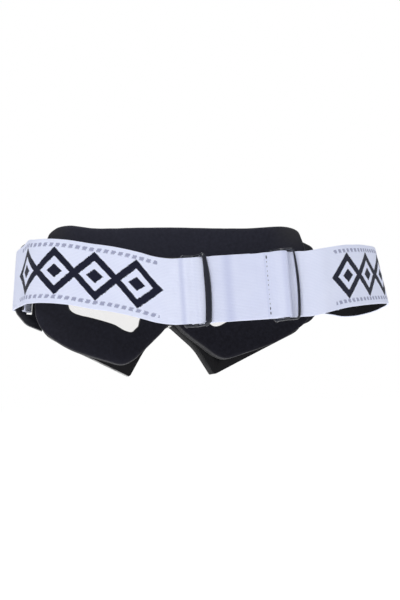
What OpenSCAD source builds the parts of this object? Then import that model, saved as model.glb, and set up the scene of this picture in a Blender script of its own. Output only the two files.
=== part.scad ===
// Motocross goggles: a moulded frame with a curved clear lens, three bonded layers of face foam,
// an outrigger on each temple, and an elastic strap in two lengths that are joined by two sliders.
// +Z is up as worn, the lens faces -Y and the wearer is on the +Y side, so +X is the wearer's left.
// The origin lies midway between the temples, on the line where the face foam meets them.

/* [Face foam] */
// Width between the temples, where the face foam ends
face_w = 185; // [180:1:186]
// Distance of the foam's side edges inside the frame's
foam_setback = 0.5; // [0.3:0.1:1]
// Radius of the curve that the foam follows round the face
face_r = 155; // [145:1:170]
// Height of the foam's brow edge at the middle
foam_top = 57.5; // [55:0.5:58.5]
// Height of the foam's brow edge near the temples
foam_shoulder = 53.5; // [50:0.5:54.5]
// Drop of the two cheek lobes
cheek_drop = 40; // [36:0.5:42]
// Distance of each cheek lobe from the middle
cheek_x = 36.5; // [34:0.5:38]
// Drop of the foam's notch over the nose
foam_nose = 11; // [9.5:0.5:12]
// Width of the foam band at the brow
brow_band = 22; // [18:0.5:24]
// Width of the foam band at the temples
temple_band = 18; // [14:0.5:19]
// Height of the foam band over the cheek lobes
cheek_band = 22.5; // [18:0.5:24]
// Thickness of the firm foam next to the frame
firm_t = 6; // [4:0.5:8]
// Thickness of the soft foam in the middle
soft_t = 7; // [5:0.5:9]
// Thickness of the fleece that touches the face
fleece_t = 3; // [2:0.5:4]

/* [Frame] */
// Width of the frame
frame_w = 186; // [186:1:190]
// Height of the frame's top edge at the middle
frame_top = 60; // [59.5:0.5:64]
// Height of the frame's top edge near the temples
frame_shoulder = 56; // [55.5:0.5:59]
// Drop of the two pointed lower corners
tip_drop = 48; // [46:0.5:52]
// Distance of each pointed corner from the middle
tip_x = 30.5; // [29:0.5:33]
// Radius of those corners
tip_r = 1.6; // [1.2:0.1:3.2]
// Drop of the notch over the nose
nose_drop = 10.2; // [9.5:0.1:12]
// Wall thickness of the frame
wall = 2.6; // [2:0.1:3.2]
// Depth of the front rim that holds the lens
rim_depth = 6; // [5.5:0.1:8]
// Width of the front rim round the lens opening
rim_w = 11; // [10:0.5:13]
// Width of the flange that the foam is bonded to
flange_w = 15; // [12:0.5:16]
// Thickness of that flange
flange_t = 3; // [2:0.1:4]
// Number of vent slots along the top
top_vents = 7; // [3:2:7]
// Length of each vent slot
vent_l = 13; // [8:1:14]
// Width of each vent slot
vent_w = 5; // [3:0.5:6]

/* [Lens] */
// Radius of the frame's front face, round a vertical axis
front_r = 130; // [120:1:145]
// Distance of the front face ahead of the temples, at the middle
front_y = 70; // [68:0.5:76]
// How far the lens is set back in the rim
lens_inset = 2.2; // [1.5:0.1:2.6]
// Thickness of the lens
lens_t = 1; // [0.8:0.1:1.2]
// How far the lens reaches into its groove
lens_seat = 4; // [3:0.5:5]
// Distance of each tear-off post from the middle
post_x = 71; // [66:0.5:73]
// Height of the tear-off posts
post_z = 14; // [8:1:24]
// Radius of a tear-off post
post_r = 2.5; // [2:0.1:3]
// Length of a tear-off post ahead of the lens
post_l = 3.2; // [2:0.1:4]

/* [Outriggers] */
// Thickness of an outrigger's wing
wing_t = 4.5; // [3.5:0.1:5.5]
// Reach of the wing past the frame
wing_reach = 14; // [13.5:0.1:16]
// Angle at which the wing sweeps back
wing_turn = 12; // [8:1:14]
// Height of the middle of the strap slot
slot_z = 20.5; // [19:0.5:22]
// Length of the strap slot
slot_l = 50; // [49:0.5:51]
// Width of the strap slot
slot_w = 3.8; // [3.4:0.1:4]
// Width of the bar that the strap is looped round
bar_w = 7.5; // [6:0.1:7.5]
// Lean of the slot's top towards the middle
bar_lean = 3.5; // [2:0.1:5]
// Thickness of the foot that is studded to the frame
foot_t = 2.2; // [1.6:0.1:2.2]
// Shank radius of the studs
stud_r = 1.5; // [1.2:0.1:2]
// Head radius of the studs
stud_head_r = 3; // [2.5:0.1:3.6]
// Head thickness of the studs
stud_head_t = 0.9; // [0.6:0.1:0.9]
// Depth that the studs are driven into the frame's side
stud_grip = 3.6; // [3:0.1:4]
// Distance between the two studs of an outrigger
stud_pitch = 11; // [9:0.5:12]

/* [Strap] */
// Width of the elastic webbing
strap_w = 41; // [38:0.5:41.5]
// Thickness of the elastic webbing
strap_t = 1.4; // [1.1:0.1:1.6]
// Distance of the strap behind the temples
back_y = 34; // [30:1:40]
// Slope of the strap's straight middle, up towards the wearer's right
back_tilt = 2.2; // [1:0.2:4]
// Turn of the strap's straight middle, back towards the wearer's right
back_swing = 7; // [5:0.5:9]
// Gap between webbing and what it passes
strap_gap = 0.3; // [0.25:0.05:0.4]
// Length of a sewn end, from its bar to its cut edge
sewn_l = 10.5; // [9:0.5:12]

/* [Sliders] */
// Distance between the two sliders
slider_gap = 55.5; // [52:0.5:58]
// Distance from bar to bar in a slider
bar_pitch = 7; // [6.8:0.1:7.6]
// Width of a slider's bars
slider_bar_w = 3; // [2.6:0.1:3.4]
// Thickness of a slider's bars and rails
slider_t = 2; // [1.6:0.1:2.4]
// Clearance of the webbing at each end of a slider's slots
slot_side = 0.9; // [0.6:0.1:1.2]
// Width of a slider's end rails
rail_w = 2.1; // [1.8:0.1:2.8]
// Bow of a slider's outer bar
bar_bow = 1.3; // [0.8:0.1:1.8]

/* [Hidden] */

round_fn = 48;
corner_steps = 4;
touch = 0.05;
foam_t = firm_t + soft_t + fleece_t;
face_c = sqrt(face_r * face_r - face_w * face_w / 4);
front_c = front_r - front_y;
depth = 90;
tall = 160;
black = [0.09, 0.09, 0.11];
gloss = [0.05, 0.05, 0.06];
charcoal = [0.15, 0.15, 0.18];
white = [0.86, 0.88, 0.94];
clear = [0.8, 0.85, 0.9, 0.4];
thread = [0.2, 0.2, 0.26];

// Plane geometry

function unit(v) = v / norm(v);
function inward(a, b) = let (e = unit(b - a)) [e[1], -e[0]];

// A closed clockwise path with every edge moved inwards by d
function inset(p, d) = [
    for (i = [0 : len(p) - 1])
        let (
            n = len(p),
            first = inward(p[(i + n - 1) % n], p[i]),
            second = inward(p[i], p[(i + 1) % n])
        )
        p[i] + (first + second) * d / (1 + first * second)
];

function swing(a) = a > 180 ? a - 360 : a < -180 ? a + 360 : a;

function corner(a, b, c, r) =
    let (
        u = unit(a - b),
        v = unit(c - b),
        half = acos(u * v) / 2,
        mid = b + unit(u + v) * r / sin(half),
        start = b + u * r / tan(half) - mid,
        stop = b + v * r / tan(half) - mid,
        from = atan2(start[1], start[0]),
        turn = swing(atan2(stop[1], stop[0]) - from)
    )
    [for (i = [0 : corner_steps]) mid + r * [cos(from + turn * i / corner_steps), sin(from + turn * i / corner_steps)]];

// The same path with its corners rounded; r holds a radius for each
function rounded(p, r) = [
    for (i = [0 : len(p) - 1])
        each corner(p[(i + len(p) - 1) % len(p)], p[i], p[(i + 1) % len(p)], r[i])
];

// A half path from the middle of the top to the middle of the bottom, and its mirror image
function both_sides(p) = concat(p, [for (i = [len(p) - 2 : -1 : 1]) [-p[i][0], p[i][1]]]);
function both_radii(r) = concat(r, [for (i = [len(r) - 2 : -1 : 1]) r[i]]);

function catmull(a, b, c, d, t) =
    0.5 * (2 * b + (c - a) * t + (2 * a - 5 * b + 4 * c - d) * t * t + (3 * b - a - 3 * c + d) * t * t * t);

// Outlines, seen from behind, as [x, z]

frame_side = frame_w / 2;
frame_path = both_sides([
    [0, frame_top],
    [52, frame_shoulder + 0.8],
    [frame_side - 14, frame_shoulder],
    [frame_side - 7, frame_shoulder - 14],
    [frame_side, frame_shoulder - 30],
    [frame_side, -2],
    [frame_side - 4, -19],
    [tip_x, -tip_drop],
    [0.62 * tip_x, 1 - (tip_drop + nose_drop) / 2],
    [0, -nose_drop]
]);
frame_radii = both_radii([120, 60, 10, 30, 30, 20, 12, tip_r, 40, 3]);
frame_outline = rounded(frame_path, frame_radii);
cavity_radii = both_radii([120, 60, 7.5, 27, 27, 17.5, 9.5, 1, 42, 5.5]);
cavity_outline = rounded(inset(frame_path, wall), cavity_radii);
window_path = inset(frame_path, rim_w);
window_radii = both_radii([110, 50, 5, 20, 20, 12, 6, 4, 48, 14]);
window_outline = rounded(window_path, window_radii);
flange_outline = rounded(inset(frame_path, flange_w), both_radii([105, 45, 4, 16, 16, 9, 4, 2, 50, 16]));
groove_gap = 0.1;
groove_outline = rounded(inset(window_path, -lens_seat - 3 * groove_gap), window_radii);

foam_side = frame_side - foam_setback;
foam_outer = both_sides([
    [0, foam_top],
    [26, foam_top - 1],
    [52, foam_shoulder],
    [foam_side - 20, foam_shoulder + 0.5],
    [foam_side - 10.5, foam_shoulder - 3],
    [foam_side - 7, foam_shoulder - 11.5],
    [foam_side - 2.3, 15],
    [foam_side, -4],
    [foam_side - 3, -15.5],
    [foam_side - 10.5, -22.8],
    [foam_side - 24, -30.5],
    [cheek_x + 10, 2.4 - cheek_drop],
    [cheek_x, -cheek_drop],
    [cheek_x - 8, 3 - cheek_drop],
    [cheek_x - 17, -foam_nose - 18],
    [cheek_x - 27.5, -foam_nose - 8],
    [0, -foam_nose]
]);
foam_inner = both_sides([
    [0, foam_top - brow_band],
    [25, foam_top - brow_band - 0.5],
    [48, foam_shoulder - brow_band + 1],
    [foam_side - temple_band - 11, foam_shoulder - brow_band],
    [foam_side - temple_band - 4.5, foam_shoulder - brow_band - 3.5],
    [foam_side - temple_band - 2.5, foam_shoulder - brow_band - 11],
    [foam_side - temple_band - 1.5, 10],
    [foam_side - temple_band - 2, 2],
    [foam_side - temple_band - 4, -4],
    [foam_side - temple_band - 10, -6.8],
    [foam_side - 35, 0.47 * (cheek_band - cheek_drop)],
    [cheek_x + 6, cheek_band - cheek_drop + 5.2],
    [cheek_x - 3, cheek_band - cheek_drop + 0.5],
    [cheek_x - 8, cheek_band - cheek_drop],
    [cheek_x - 12, cheek_band - cheek_drop + 4],
    [cheek_x - 16.5, cheek_band - cheek_drop + 14],
    [0, -foam_nose + 18]
]);
ring_steps = 3;

// Depths

function face_y(x, v) = face_c - sqrt((face_r + v) * (face_r + v) - x * x);

module prism(path) {
    rotate([90, 0, 0])
        linear_extrude(depth)
            polygon(path);
}

// All that lies behind the front face moved back by d
module behind_front(d) {
    translate([0, front_c, 0])
        cylinder(r = front_r - d, h = tall, center = true, $fn = 180);
}

// All that lies behind the surface v ahead of the face
module behind_face(v) {
    translate([0, face_c, 0])
        cylinder(r = face_r + v, h = tall, center = true, $fn = 180);
}

// The part of a prism between two depths of the front rim
module front_layer(path, from, to) {
    difference() {
        intersection() {
            prism(path);
            behind_front(from);
        }
        behind_front(to);
    }
}

// Sweeps

// A closed ring of foam: the profile is a list of [share of the band from outside, depth, lift]
module foam_ring(profile) {
    n = len(foam_outer);
    m = len(profile);
    count = n * ring_steps;
    stations = [
        for (i = [0 : n - 1], j = [0 : ring_steps - 1])
            let (a = (i + n - 1) % n, c = (i + 1) % n, d = (i + 2) % n, t = j / ring_steps)
            [
                catmull(foam_outer[a], foam_outer[i], foam_outer[c], foam_outer[d], t),
                catmull(foam_inner[a], foam_inner[i], foam_inner[c], foam_inner[d], t)
            ]
    ];
    points = [
        for (s = stations, p = profile)
            let (at = s[0] + (s[1] - s[0]) * p[0])
            [at[0], face_y(at[0], p[1]), at[1]]
    ];
    // Faces that run inwards and faces that run outwards share one diagonal, so bonded layers touch flat
    faces = [
        for (i = [0 : count - 1], j = [0 : m - 1])
            let (
                a = i * m + j,
                b = i * m + (j + 1) % m,
                c = ((i + 1) % count) * m + (j + 1) % m,
                d = ((i + 1) % count) * m + j
            )
            each profile[(j + 1) % m][0] < profile[j][0] ? [[a, d, b], [b, d, c]] : [[a, c, b], [a, d, c]]
    ];
    polyhedron(points, faces);
}

// Smooth way through a list of points, each with any number of values
function way(p, k) = concat(
    [
        for (i = [0 : len(p) - 2], j = [0 : k - 1])
            let (
                a = i == 0 ? 2 * p[0] - p[1] : p[i - 1],
                d = i == len(p) - 2 ? 2 * p[i + 1] - p[i] : p[i + 2]
            )
            catmull(a, p[i], p[i + 1], d, j / k)
    ],
    [p[len(p) - 1]]
);

// Webbing along stations of [x, y, z, lean in x, lean in y]; its inner side is on the left of the way
module webbing(s, width, thick) {
    n = len(s);
    points = [
        for (i = [0 : n - 1])
            let (
                at = [s[i][0], s[i][1], s[i][2]],
                before = s[max(i - 1, 0)],
                after = s[min(i + 1, n - 1)],
                along = unit([after[0] - before[0], after[1] - before[1], after[2] - before[2]]),
                up = unit([s[i][3], s[i][4], 1]),
                out = unit(cross(along, up))
            )
            each [
                at + up * width / 2 + out * thick / 2,
                at + up * width / 2 - out * thick / 2,
                at - up * width / 2 - out * thick / 2,
                at - up * width / 2 + out * thick / 2
            ]
    ];
    sides = [
        for (i = [0 : n - 2], j = [0 : 3])
            let (a = 4 * i + j, b = 4 * i + (j + 1) % 4)
            each [[a, b, b + 4], [a, b + 4, a + 4]]
    ];
    last = 4 * (n - 1);
    polyhedron(points, concat(sides, [[0, 2, 1], [0, 3, 2], [last, last + 1, last + 2], [last, last + 2, last + 3]]));
}

// Frame

function mid_wall_y(x) =
    (front_c - sqrt((front_r - rim_depth) * (front_r - rim_depth) - x * x) + face_y(x, foam_t + flange_t)) / 2;

module top_vent_cuts() {
    for (i = [0 : top_vents - 1]) {
        x = (i - (top_vents - 1) / 2) * (vent_l + 7);
        translate([x, mid_wall_y(x), frame_shoulder])
            cube([vent_l, vent_w, 40], center = true);
    }
}

lower_edge = unit([frame_side - 4 - tip_x, tip_drop - 19]);

module lower_vent_cuts() {
    for (side = [-1, 1], step = [0, 1]) {
        along = 17 + step * (vent_l + 5);
        x = side * (tip_x + lower_edge[0] * along);
        z = -tip_drop + lower_edge[1] * along;
        translate([x, mid_wall_y(x), z])
            rotate([0, -side * atan2(lower_edge[1], lower_edge[0]), 0])
                cube([vent_l, vent_w, 5 * wall], center = true);
    }
}

module frame() {
    color(gloss)
        difference() {
            intersection() {
                prism(frame_outline);
                behind_front(0);
            }
            behind_face(foam_t + touch);
            difference() {
                intersection() {
                    prism(cavity_outline);
                    behind_front(rim_depth);
                }
                behind_face(foam_t + flange_t);
            }
            difference() {
                prism(window_outline);
                behind_face(foam_t + flange_t);
            }
            prism(flange_outline);
            front_layer(groove_outline, lens_inset - groove_gap, lens_inset + lens_t + groove_gap);
            top_vent_cuts();
            lower_vent_cuts();
            for (side = [-1, 1])
                at_studs(side)
                    cylinder(r = stud_r + touch, h = 2 * (stud_grip + touch), center = true, $fn = round_fn);
        }
}

// Lens and tear-off posts

post_turn = asin(post_x / (front_r - lens_inset));

// Stands on the lens's front face at a post, with the local Z axis pointing ahead
module at_post(side) {
    translate([0, front_c, post_z])
        rotate([0, 0, side * post_turn])
            translate([0, lens_inset - front_r, 0])
                rotate([90, 0, 0])
                    children();
}

module lens() {
    color(clear)
        difference() {
            front_layer(rounded(inset(window_path, -lens_seat), window_radii), lens_inset, lens_inset + lens_t);
            for (side = [-1, 1])
                at_post(side)
                    cylinder(r = post_r / 2 + touch, h = 6 * lens_t, center = true, $fn = round_fn);
        }
}

module tear_off_post(side) {
    rivet_t = 0.8;
    color(black)
        at_post(side) {
            cylinder(r = post_r, h = post_l, $fn = round_fn);
            translate([0, 0, -lens_t - touch])
                cylinder(r = post_r / 2, h = lens_t + 2 * touch, $fn = round_fn);
            translate([0, 0, -lens_t - touch - rivet_t])
                cylinder(r = post_r - 0.3, h = rivet_t, $fn = round_fn);
        }
}

// Foam

module firm_foam() {
    color(charcoal)
        foam_ring([
            [0, foam_t], [0.03, foam_t - firm_t / 2], [0, fleece_t + soft_t],
            [1, fleece_t + soft_t], [0.97, foam_t - firm_t / 2], [1, foam_t]
        ]);
}

module soft_foam() {
    color(charcoal)
        foam_ring([
            [0, fleece_t + soft_t], [0.03, fleece_t + soft_t / 2], [0, fleece_t],
            [1, fleece_t], [0.97, fleece_t + soft_t / 2], [1, fleece_t + soft_t]
        ]);
}

module fleece_layer() {
    crown = 0.45 * fleece_t;
    color(charcoal)
        foam_ring([
            [0, fleece_t], [0, crown], [0.1, crown / 3], [0.3, 0],
            [0.7, 0], [0.9, crown / 3], [1, crown], [1, fleece_t]
        ]);
}

// A strip of filter foam inside the frame's wall, kept where the given box reaches
module vent_foam(low, high) {
    strip_t = 2.5;
    gap = 0.1;
    color(charcoal)
        difference() {
            intersection() {
                prism(rounded(inset(frame_path, wall + gap), cavity_radii));
                behind_front(rim_depth + gap);
                translate(low)
                    cube(high - low);
            }
            behind_face(foam_t + flange_t + gap);
            prism(rounded(inset(frame_path, wall + gap + strip_t), cavity_radii));
        }
}

// Reach of the filter strips along the top and round the lower corners
vent_reach = frame_side - 14;
vent_top_z = frame_shoulder - 16;
vent_low_z = 33 - tip_drop;
vent_low_x = [tip_x + 5.5, frame_side - 23];

// Outriggers

wing_o = [frame_side + 0.5, -34.5, 0];
bar_x = wing_reach - 0.5 - bar_w / 2;
slot_x = bar_x - bar_w / 2 - slot_w / 2;
foot_gap = 0.1;
foot_y = [-33.5, -19.5];
stud_y = -25;
stud_z = 13;

module at_studs(side) {
    for (step = [-0.5, 0.5])
        translate([side * frame_side, stud_y, stud_z + step * stud_pitch])
            rotate([0, side * 90, 0])
                children();
}

module mirrored(side) {
    if (side > 0) children();
    else mirror([1, 0, 0]) children();
}

lean_shift = tan(bar_lean);
wing_edge = frame_side + wing_reach;

// Outline of a wing before it is turned back, as [x, z]
wing_path = rounded(
    [
        [frame_side - 12, frame_shoulder - 7.5],
        [frame_side + 4, frame_shoulder - 8.5],
        [wing_edge - 22 * lean_shift, slot_z + 22],
        [wing_edge + 23 * lean_shift, slot_z - 23],
        [wing_edge - 6, slot_z - 32],
        [frame_side - 8, slot_z - 38.5]
    ],
    [1, 10, 6, 8, 10, 1]
);

module wing_slab(path, extra) {
    translate([-frame_side - 0.5, wing_t / 2 + extra, 0])
        rotate([90, 0, 0])
            linear_extrude(wing_t + 2 * extra)
                polygon(path);
}

module outrigger(side) {
    color(black)
        mirrored(side)
            difference() {
                union() {
                    translate(wing_o)
                        rotate([0, 0, wing_turn])
                            difference() {
                                wing_slab(wing_path, 0);
                                wing_slab(rounded(inset(frame_path, -0.9), frame_radii), 1);
                                translate([slot_x, 0, slot_z])
                                    rotate([0, -bar_lean, 0])
                                        cube([slot_w, 3 * wing_t, slot_l], center = true);
                            }
                    translate([frame_side + foot_gap, foot_y[0], stud_z - stud_pitch / 2 - 5])
                        cube([foot_t, foot_y[1] - foot_y[0], stud_pitch + 10]);
                }
                at_studs(1)
                    cylinder(r = stud_r + touch, h = 6 * foot_t, center = true, $fn = round_fn);
            }
}

module outrigger_studs() {
    color(black)
        for (side = [-1, 1])
            at_studs(side) {
                translate([0, 0, foot_gap + foot_t + touch])
                    cylinder(r = stud_head_r, h = stud_head_t, $fn = round_fn);
                translate([0, 0, -stud_grip])
                    cylinder(r = stud_r, h = stud_grip + foot_gap + foot_t + touch, $fn = round_fn);
            }
}

// Strap

pitch = strap_t + strap_gap;
web_out = bar_w / 2 + strap_gap + strap_t / 2;
web_r = strap_gap + strap_t / 2;

// A point given in the slot bar's own directions (outwards, back, up) as a station in the frame's
function at_bar(side, p) =
    let (
        lx = p[0] * cos(bar_lean) - p[2] * sin(bar_lean) + bar_x,
        lz = p[2] * cos(bar_lean) + p[0] * sin(bar_lean) + slot_z,
        x = wing_o[0] + lx * cos(wing_turn) - p[1] * sin(wing_turn),
        y = wing_o[1] + lx * sin(wing_turn) + p[1] * cos(wing_turn)
    )
    [side * x, y, lz, -side * tan(bar_lean) * cos(wing_turn), -tan(bar_lean) * sin(wing_turn)];

function arc_at(c, from, to) = [for (a = [0 : 2]) let (t = from + (to - from) * a / 2) c + web_r * [cos(t), sin(t)]];

bar_corner = [bar_w / 2, wing_t / 2];

// The right end leaves the bar at 30 degrees, so its tail lies this far back from it
tail_step = pitch / cos(30);

// Ways of the two looped ends in plan, as [outwards, back], from the side piece to the cut edge
left_loop = concat(
    [[web_out - 4.4, 22], [web_out - 2.9, 16], [web_out - 1.5, 10], [web_out - 0.5, 5], [web_out, 1]],
    arc_at([bar_corner[0], -bar_corner[1]], 0, -90),
    arc_at([-bar_corner[0], -bar_corner[1]], -90, -180),
    [
        [-web_out, 1], [-web_out + 0.9, 5], [-web_out + 2.6, 9.5],
        [web_out - 4.9, 13], [web_out - 4.75, 16], [web_out - 5.5, 19]
    ]
);
right_loop = concat(
    [[26, -15.6], [20, -12.1], [14, -8.6], [8, -5.1]],
    arc_at([bar_corner[0], -bar_corner[1]], -60, -90),
    arc_at([-bar_corner[0], -bar_corner[1]], -90, -180),
    arc_at([-bar_corner[0], bar_corner[1]], 180, 90),
    arc_at([bar_corner[0], bar_corner[1]], 90, 0),
    [[5.2, -1.2], [8.5, -3.5], [14, -8.6 + tail_step], [20, -12.1 + tail_step], [24, -14.43 + tail_step]]
);
// Heights of the two ways above the middle of the slot: at the start, at the bar and at the cut edge
left_rise = [-1, -0.3, -5];
right_rise = [-8, -3.8, 1];

// Length of a way from its start to its point i
function run(p, i) = i == 0 ? 0 : run(p, i - 1) + norm(p[i] - p[i - 1]);

function looped(side, plan, rise) = [
    for (i = [0 : len(plan) - 1])
        let (
            share = 2 * run(plan, i) / run(plan, len(plan) - 1),
            up = share < 1 ? rise[0] + (rise[1] - rise[0]) * share : rise[1] + (rise[2] - rise[1]) * (share - 1)
        )
        at_bar(side, [plan[i][0], plan[i][1], up])
];

left_end = looped(1, left_loop, left_rise);
right_end = looped(-1, right_loop, right_rise);

// The strap's straight middle: its own X runs along the strap to the wearer's right, -Y points out
back_o = [-5.9, back_y, 1.2];

module on_back() {
    translate(back_o)
        rotate([0, 0, -back_swing])
            rotate([0, back_tilt, 0])
                rotate([0, 0, 180])
                    children();
}

function back_point(u, v) = [
    back_o[0] - u * cos(back_tilt) * cos(back_swing) - v * sin(back_swing),
    back_o[1] + u * cos(back_tilt) * sin(back_swing) - v * cos(back_swing),
    back_o[2] + u * sin(back_tilt),
    tan(back_tilt) * cos(back_swing),
    -tan(back_tilt) * sin(back_swing)
];

inner_v = pitch;
left_from = -16;
left_to = 14;
stitch_u = slider_gap - sewn_l;
right_from = 36;
right_to = slider_gap + 15;
side_steps = 4;

// The place a little ahead of an end's first station, where the free side stops
function ahead_of(p) = p[0] + (p[0] - p[1]) * 1.5 * strap_gap / norm(p[0] - p[1]);

// Ways of the two free sides, chosen by hand, from the straight middle to the looped ends
left_way = concat(
    [back_point(left_from - strap_gap, 0)],
    [
        [18.5, back_y - 2.9, 2.6, 0.02, 0],
        [28, back_y - 4.6, 5.6, 0, 0],
        [42, back_y - 8.5, 9.6, 0, 0],
        [frame_side - 35.7, back_y - 12, 12.6, 0, 0],
        [frame_side - 25, back_y - 15.5, 15.2, 0, 0],
        [frame_side - 14.4, 14.2, 17.2, -0.01, 0],
        [frame_side - 5.8, 9, 18.4, -0.03, 0],
        [frame_side + 0.4, 3, 18.9, -0.05, 0]
    ],
    [ahead_of(left_end)]
);
right_way = concat(
    [back_point(right_to + strap_gap, inner_v)],
    [
        [-85, back_y + 5.8, 5.6, 0.02, 0],
        [-95, back_y + 0.8, 8.2, 0, 0],
        [-frame_side - 14, back_y - 6.5, 11, 0.01, 0],
        [-frame_side - 26.8, 18, 13.4, 0.03, 0],
        [-frame_side - 40.7, 4, 16, 0.08, 0],
        [-frame_side - 51, -7, 17.6, 0.14, 0],
        [-frame_side - 57.2, -17, 18.4, 0.19, 0],
        [-frame_side - 59.3, -27, 17.8, 0.19, 0],
        [-frame_side - 56, -36.5, 15, 0.15, 0],
        [-frame_side - 48.5, -42, 12.9, 0.09, 0]
    ],
    [ahead_of(right_end)]
);

module cut_webbing(from, to, v) {
    color(white)
        on_back()
            translate([from, v - strap_t / 2, -strap_w / 2])
                cube([to - from, strap_t, strap_w]);
}

// A sewn end: webbing that comes along the middle, turns round a bar and lies on itself
// At u it comes from the side given by dir, and its tail lies on the side given by tail
module sewn_end(u, v, dir, tail, length) {
    bar_v = v + tail * (strap_gap + strap_t / 2 + slider_t / 2);
    turn_r = strap_gap + (strap_t + slider_t) / 2;
    turn_x = u - dir * (slider_bar_w - slider_t) / 2;
    color(white)
        on_back()
            translate([0, 0, -strap_w / 2])
                linear_extrude(strap_w) {
                    translate([min(turn_x, u + dir * length), v - strap_t / 2])
                        square([abs(u + dir * length - turn_x), strap_t]);
                    translate([min(turn_x, u + dir * length), 2 * bar_v - v - strap_t / 2])
                        square([abs(u + dir * length - turn_x), strap_t]);
                    intersection() {
                        difference() {
                            translate([turn_x, bar_v]) circle(r = turn_r + strap_t / 2, $fn = round_fn);
                            translate([turn_x, bar_v]) circle(r = turn_r - strap_t / 2, $fn = round_fn);
                        }
                        translate([turn_x - (dir > 0 ? 10 : 0), bar_v - 10])
                            square([10, 20]);
                    }
                }
}

// Sliders: staggered bars, so that webbing passes between them without a bend
slider_inner = strap_w + 2 * slot_side;
slider_h = slider_inner + 2 * rail_w;
low_v = strap_t / 2 + strap_gap + slider_t / 2;
low_inner_v = inner_v + low_v;

module bar(u, v) {
    translate([u, v, -slider_h / 2])
        linear_extrude(slider_h) {
            square([slider_bar_w - slider_t, slider_t], center = true);
            for (end = [-0.5, 0.5])
                translate([end * (slider_bar_w - slider_t), 0])
                    circle(d = slider_t, $fn = round_fn);
        }
}

// The outer bar is bowed away from the others
module bowed_bar(u, v) {
    bow_r = slider_h * slider_h / 8 / bar_bow + bar_bow / 2;
    translate([u + bar_bow - bow_r, v + slider_t / 2, 0])
        rotate([90, 0, 0])
            intersection() {
                difference() {
                    cylinder(r = bow_r + slider_bar_w / 2, h = slider_t, $fn = 180);
                    translate([0, 0, -1])
                        cylinder(r = bow_r - slider_bar_w / 2, h = slider_t + 2, $fn = 180);
                }
                translate([0, -slider_h / 2, -1])
                    cube([2 * bow_r, slider_h, slider_t + 2]);
            }
}

// An end rail joins the bars' ends, stepping from one level to the next
module rail(u, levels) {
    reach = bar_pitch + slider_bar_w / 2;
    for (end = [-1, 1])
        translate([u, 0, end * (slider_inner + rail_w) / 2 - rail_w / 2])
            linear_extrude(rail_w)
                polygon([
                    [-reach, levels[0] - slider_t / 2],
                    [-reach + slider_bar_w, levels[0] - slider_t / 2],
                    [-slider_bar_w / 2, levels[1] - slider_t / 2],
                    [slider_bar_w / 2, levels[1] - slider_t / 2],
                    [reach - slider_bar_w, levels[2] - slider_t / 2],
                    [reach, levels[2] - slider_t / 2],
                    [reach, levels[2] + slider_t / 2],
                    [reach - slider_bar_w, levels[2] + slider_t / 2],
                    [slider_bar_w / 2, levels[1] + slider_t / 2],
                    [-slider_bar_w / 2, levels[1] + slider_t / 2],
                    [-reach + slider_bar_w, levels[0] + slider_t / 2],
                    [-reach, levels[0] + slider_t / 2]
                ]);
}

module slider(u, levels) {
    color(gloss)
        on_back() {
            bar(u - bar_pitch, levels[0]);
            bar(u, levels[1]);
            bowed_bar(u + bar_pitch, levels[2]);
            rail(u, levels);
        }
}

// Stitching

stitch_pitch = 2.6;
stitch_l = 1.7;
stitch_w = 0.5;
stitch_proud = 0.2;
stitch_edge = 2.5;
stitch_count = floor((strap_w - 2 * stitch_edge) / stitch_pitch);
stitch_heights = [for (i = [0 : stitch_count - 1]) (i - (stitch_count - 1) / 2) * stitch_pitch];
sewn_middle = strap_t / 2 + strap_gap + slider_t / 2;
sewn_t = 2 * (sewn_middle + strap_t / 2 + stitch_proud);

module stitch_row(u, v) {
    for (up = stitch_heights)
        translate([u, v, up])
            cube([stitch_w, sewn_t, stitch_l], center = true);
}

module loop_stitching(side, plan_at, turn) {
    for (up = stitch_heights) {
        s = at_bar(side, [plan_at[0], plan_at[1], plan_at[2] + up]);
        translate([s[0], s[1], s[2]])
            rotate([0, 0, side * (wing_turn + turn)])
                rotate([0, -side * bar_lean, 0])
                    cube([strap_t + pitch + stitch_w, stitch_w, stitch_l], center = true);
    }
}

frame();
lens();
tear_off_post(1);  // tear_off_post_left
tear_off_post(-1);  // tear_off_post_right
firm_foam();
soft_foam();
fleece_layer();
vent_foam([-vent_reach, -depth, vent_top_z], [vent_reach, 0, tall / 2]);  // vent_foam_top
vent_foam([vent_low_x[0], -depth, -tall / 2], [vent_low_x[1], 0, vent_low_z]);  // vent_foam_left
vent_foam([-vent_low_x[1], -depth, -tall / 2], [-vent_low_x[0], 0, vent_low_z]);  // vent_foam_right
outrigger(1);  // outrigger_left
outrigger(-1);  // outrigger_right
outrigger_studs();
color(white) webbing(left_end, strap_w, strap_t);  // strap_left_end
color(white) webbing(way(left_way, side_steps), strap_w, strap_t);  // strap_left_side
cut_webbing(left_from, left_to, 0);  // strap_left_back
cut_webbing(left_to, stitch_u - strap_gap, 0);  // strap_outer_layer
sewn_end(slider_gap, 0, -1, -1, sewn_l);  // strap_outer_end
color(white) webbing(right_end, strap_w, strap_t);  // strap_right_end
color(white) webbing(way(right_way, side_steps), strap_w, strap_t);  // strap_right_side
cut_webbing(right_from, right_to, inner_v);  // strap_right_back
cut_webbing(sewn_l + strap_gap, right_from, inner_v);  // strap_inner_layer
sewn_end(0, inner_v, 1, 1, sewn_l);  // strap_inner_end
slider(0, [low_v, low_inner_v, -low_v]);  // slider_left
slider(slider_gap, [low_inner_v, -low_v, -low_v]);  // slider_right
color(thread) loop_stitching(1, [web_out - 4.2, 17.5, -2.5], 14);  // stitching_left
color(thread) loop_stitching(-1, [20, -12.1 + 0.58 * pitch, -1.5], -60);  // stitching_right
color(thread) on_back() stitch_row(stitch_u + 2, -sewn_middle);  // stitching_outer
color(thread) on_back() stitch_row(sewn_l - 2, inner_v + sewn_middle);  // stitching_inner
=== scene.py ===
import math

import bmesh
import bpy
import numpy as np
from mathutils import Matrix, Vector, noise


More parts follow.
